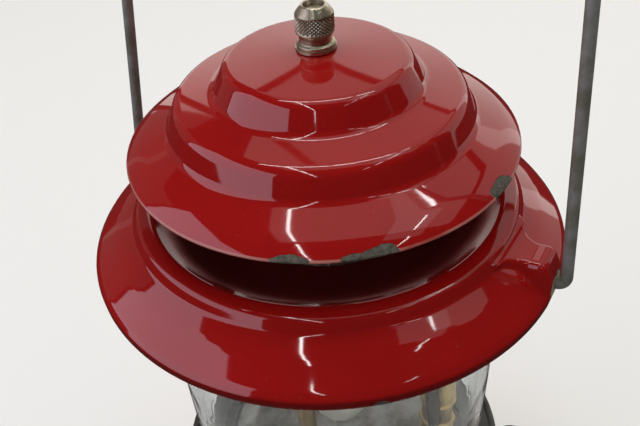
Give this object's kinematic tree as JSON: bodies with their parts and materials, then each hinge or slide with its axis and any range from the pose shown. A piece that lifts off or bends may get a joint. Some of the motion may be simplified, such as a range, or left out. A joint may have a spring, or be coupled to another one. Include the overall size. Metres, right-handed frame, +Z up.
{
  "type": "mantle lantern",
  "caption": "Free-standing liquid-fuel mantle lantern with a round fount, pump, valve wheel, glass globe, stepped enamelled ventilator, knurled ball nut and swinging wire bail.",
  "frame": {"origin": "centre of the foot ring, on the ground", "axes": "+Z up; +X along the bail's pivots; -Y towards the valve wheel"},
  "size_m": [0.1648, 0.1679, 0.3936],
  "materials": {
    "red_enamel": "glossy baked enamel with small chips at the edges",
    "fount_enamel": "glossy baked enamel",
    "dark_steel": "dark baked finish on pressed steel",
    "zinc_wire": "dull zinc-plated wire, tarnished",
    "aged_nickel": "aged nickel plate over brass, worn at the knurl",
    "nickel": "nickel plate, light wear",
    "steel": "bare steel, heat-dulled",
    "brass": "brass, lightly tarnished",
    "cast_iron": "heat-blackened casting",
    "black_knob": "moulded heat-resisting plastic",
    "rubber_seal": "moulded seal",
    "leather_cup": "oiled leather",
    "globe_glass": "clear heat-resisting glass",
    "mantle_cloth": "burnt-in mantle mesh"
  },
  "bodies": {
    "lantern": {"fount_shell": "fount_enamel", "fount_bottom": "fount_enamel", "filler_neck": "nickel", "pump_barrel": "brass", "check_valve": "brass", "pump_cap": "nickel", "pump_screws": "nickel", "pickup_tube": "steel", "valve_body": "brass", "packing_nut": "brass", "generator_tube": "brass", "generator_nut": "brass", "collar": "dark_steel", "globe_plate": "dark_steel", "heat_shield": "steel", "plate_screws": "nickel", "burner_frame": "steel", "air_tube": "brass", "burner_manifold": "cast_iron", "burner_cap": "cast_iron", "burner_screen": "steel", "mantle": "mantle_cloth", "globe": "globe_glass", "ventilator_brim": "red_enamel", "ventilator_cap": "red_enamel", "vent_spider": "steel", "cap_straps": "steel", "strap_rivets": "steel", "center_stud": "steel"},
    "filler_seal": {"filler_gasket": "rubber_seal"},
    "filler_lid": {"filler_cap": "nickel", "filler_screw": "nickel"},
    "air_needle": {"air_stem": "steel"},
    "plunger": {"pump_cup": "leather_cup", "cup_retainer": "steel"},
    "pump_handle": {"pump_rod": "steel", "pump_knob": "nickel"},
    "valve_spindle": {"valve_stem": "nickel", "valve_wheel": "black_knob", "wheel_screw": "nickel"},
    "cleaner_crank": {"cleaner_lever": "nickel"},
    "cleaner_needle": {"cleaning_rod": "steel"},
    "captive_washer": {"nut_washer": "dark_steel"},
    "top_nut": {"ball_nut": "aged_nickel"},
    "carrying_bail": {"bail": "zinc_wire"}
  },
  "joints": [
    {"name": "filler_rise", "type": "slide", "parent": "lantern", "child": "filler_seal", "axis": [0.4415, 0.2347, 0.866], "range_m": [0, 0.00375]},
    {"name": "filler_turn", "type": "hinge", "parent": "filler_seal", "child": "filler_lid", "pos_m": [0.05474, 0.02911, 0.06621], "axis": [0.4415, 0.2347, 0.866], "range_deg": [0, 900]},
    {"name": "pump_stroke", "type": "slide", "parent": "lantern", "child": "plunger", "axis": [-0.6275, -0.4394, 0.6428], "range_m": [0, 0.066]},
    {"name": "pump_turn", "type": "hinge", "parent": "plunger", "child": "pump_handle", "pos_m": [-0.05079, -0.03556, 0.06621], "axis": [-0.6275, -0.4394, 0.6428], "range_deg": [0, 360]},
    {"name": "air_needle_turn", "type": "hinge", "parent": "lantern", "child": "air_needle", "pos_m": [-0.05079, -0.03556, 0.06621], "axis": [-0.6275, -0.4394, 0.6428], "range_deg": [0, 360]},
    {"name": "valve_turn", "type": "hinge", "parent": "lantern", "child": "valve_spindle", "pos_m": [0, -0.0245, 0.098], "axis": [0, -1, 0], "range_deg": [0, 600]},
    {"name": "cleaner_turn", "type": "hinge", "parent": "lantern", "child": "cleaner_crank", "pos_m": [0, -0.0245, 0.1073], "axis": [0.5299, -0.848, 0], "range_deg": [0, 170]},
    {"name": "cleaner_rise", "type": "slide", "parent": "lantern", "child": "cleaner_needle", "axis": [0, 0, 1], "range_m": [0, 0.00151]},
    {"name": "washer_rise", "type": "slide", "parent": "lantern", "child": "captive_washer", "axis": [0, 0, 1], "range_m": [0, 0.004]},
    {"name": "nut_turn", "type": "hinge", "parent": "captive_washer", "child": "top_nut", "pos_m": [0, 0, 0.2926], "axis": [0, 0, 1], "range_deg": [0, 1800]},
    {"name": "bail_swing", "type": "hinge", "parent": "lantern", "child": "carrying_bail", "pos_m": [0, 0, 0.2297], "axis": [1, 0, 0], "range_deg": [-145, 145]}
  ],
  "couplings": [
    {"joint": "filler_turn", "follows": "filler_rise", "rad_per_m": 4188.8},
    {"joint": "air_needle_turn", "follows": "pump_turn", "ratio": 1},
    {"joint": "cleaner_turn", "follows": "cleaner_rise", "rad_per_m": 1963.5},
    {"joint": "nut_turn", "follows": "washer_rise", "rad_per_m": 7854}
  ]
}
